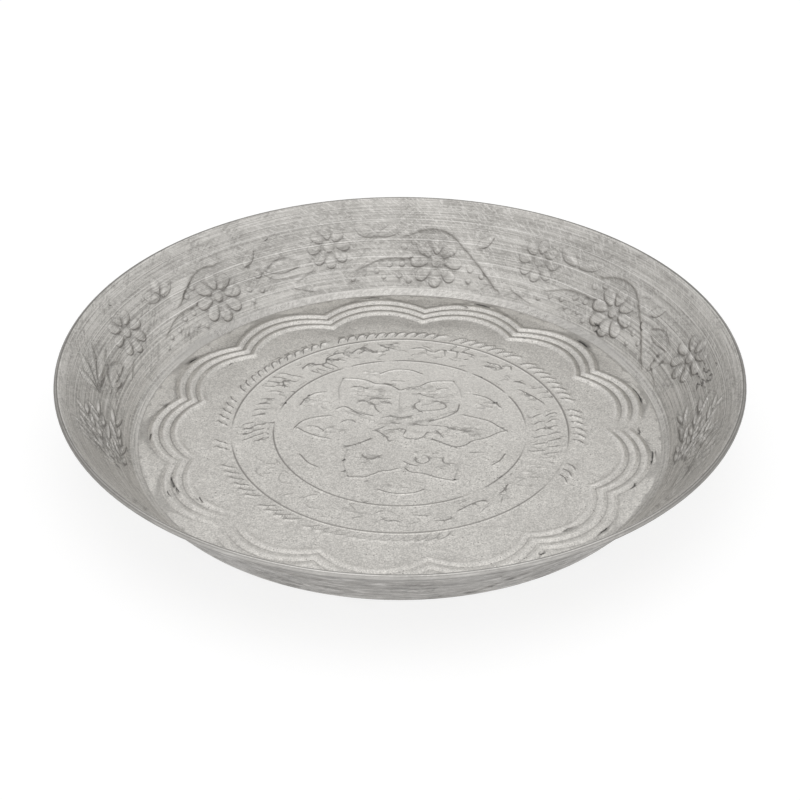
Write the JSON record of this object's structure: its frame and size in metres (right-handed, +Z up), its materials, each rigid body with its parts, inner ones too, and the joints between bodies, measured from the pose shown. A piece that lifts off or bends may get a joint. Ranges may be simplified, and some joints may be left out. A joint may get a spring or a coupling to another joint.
{
  "type": "decorative tray",
  "caption": "Round shallow tray of embossed sheet metal with a flat patterned floor, a flared wall and a rolled wired rim, for serving or display.",
  "frame": {"origin": "centre of the tray on the surface it stands on, at the underside of the felt pads", "axes": "+Z up along the tray's axis, +X to the right and +Y away from the viewer of the picture"},
  "size_m": [0.4, 0.4, 0.0529],
  "materials": {
    "embossed_metal": "antiqued satin, brushed wall",
    "wire_steel": "bright drawn wire",
    "grey_felt": "pressed felt"
  },
  "bodies": {
    "root": {"dish": "embossed_metal", "rim_wire": "wire_steel", "felt_pad_1": "grey_felt", "felt_pad_2": "grey_felt", "felt_pad_3": "grey_felt", "felt_pad_4": "grey_felt"}
  },
  "joints": []
}
